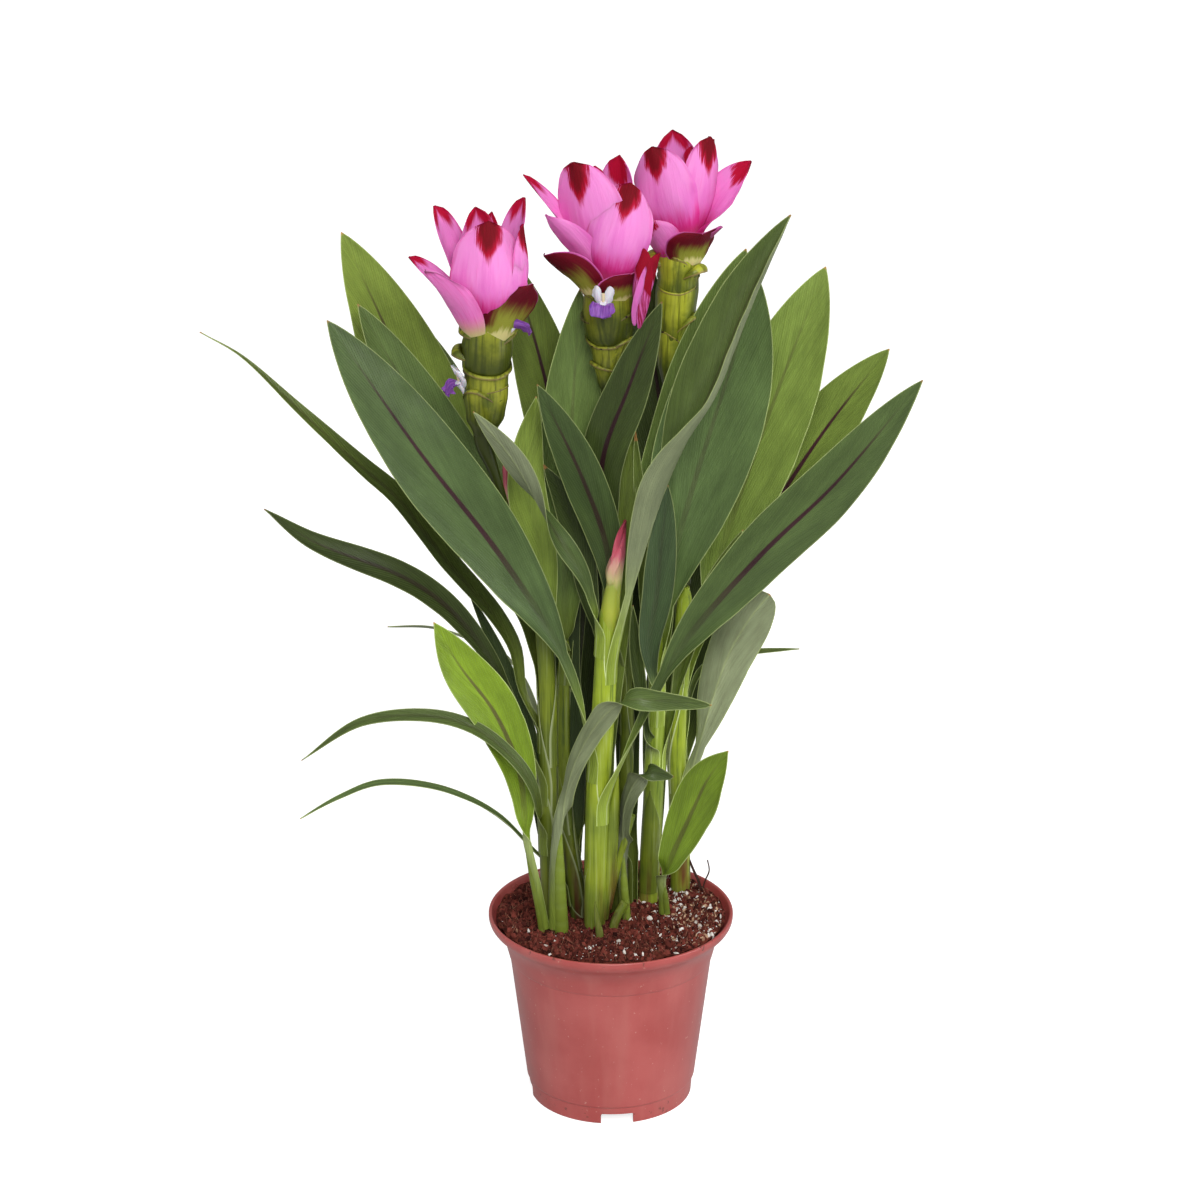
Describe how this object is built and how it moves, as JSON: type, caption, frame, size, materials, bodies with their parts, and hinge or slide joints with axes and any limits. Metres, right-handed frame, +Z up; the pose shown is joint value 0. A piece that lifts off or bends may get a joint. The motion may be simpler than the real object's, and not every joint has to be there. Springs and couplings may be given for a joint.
{
  "type": "potted siam tulip",
  "caption": "Siam tulip in a nursery pot: upright leafy shoots with long pointed leaves, and pink tulip-shaped flower heads on green cones, for display on a table or sill.",
  "frame": {"origin": "middle of the foot disc under the pot, on the plane that the pot rests on", "axes": "+Z up along the pot's axis, +X to the right of the plant seen from its front, +Y towards its back"},
  "size_m": [0.3918, 0.1784, 0.5602],
  "materials": {
    "pot": "semi-matte moulded terracotta plastic",
    "soil": "loose coir and bark",
    "rhizome": "dull skin",
    "stem": "smooth leaf sheath",
    "leaf": "satin leaf blade",
    "spike": "waxy bract",
    "crown": "satin petal-like bract",
    "bud": "satin bract",
    "flower": "soft petal"
  },
  "bodies": {
    "root": {"pot": "pot", "soil": "soil", "rhizome": "rhizome", "stem_left": "stem", "stem_back_left": "stem", "stem_middle": "stem", "stem_centre": "stem", "stem_right": "stem", "stem_far_right": "stem", "leaf_left_broad_front": "leaf", "leaf_left_tall": "leaf", "leaf_left_second": "leaf", "leaf_left_back": "leaf", "leaf_left_long_thin": "leaf", "leaf_left_side": "leaf", "leaf_left_narrow_back": "leaf", "leaf_left_arching_high": "leaf", "leaf_left_arching_low": "leaf", "leaf_middle_upright": "leaf", "leaf_middle_leaning_right": "leaf", "leaf_middle_leaning_left": "leaf", "leaf_middle_dark_tip": "leaf", "leaf_middle_twisted": "leaf", "leaf_middle_bright": "leaf", "leaf_middle_back_left": "leaf", "leaf_middle_back": "leaf", "leaf_middle_dry_tip": "leaf", "leaf_middle_shaded": "leaf", "leaf_middle_small": "leaf", "leaf_right_folded_front": "leaf", "leaf_right_upright": "leaf", "leaf_right_dark_broad": "leaf", "leaf_right_pale_broad": "leaf", "leaf_right_behind": "leaf", "leaf_right_broad_front": "leaf", "leaf_right_small_strip": "leaf", "leaf_right_underside": "leaf", "leaf_right_far_back": "leaf", "leaf_back_hidden_left": "leaf", "leaf_back_hidden_right": "leaf", "sheath_bare": "stem", "shoot_front_left": "leaf", "shoot_arching": "leaf", "shoot_right": "leaf", "shoot_curled": "leaf", "spear_front": "stem", "spear_back": "stem", "stub_cut": "stem", "head_left_spike": "spike", "head_left_crown": "crown", "head_middle_spike": "spike", "head_middle_crown": "crown", "head_right_spike": "spike", "head_right_crown": "crown", "bud_middle": "bud", "bud_left": "bud", "bract_rolled": "crown", "flower_left_outer": "flower", "flower_left_inner": "flower", "flower_middle": "flower"}
  },
  "joints": []
}
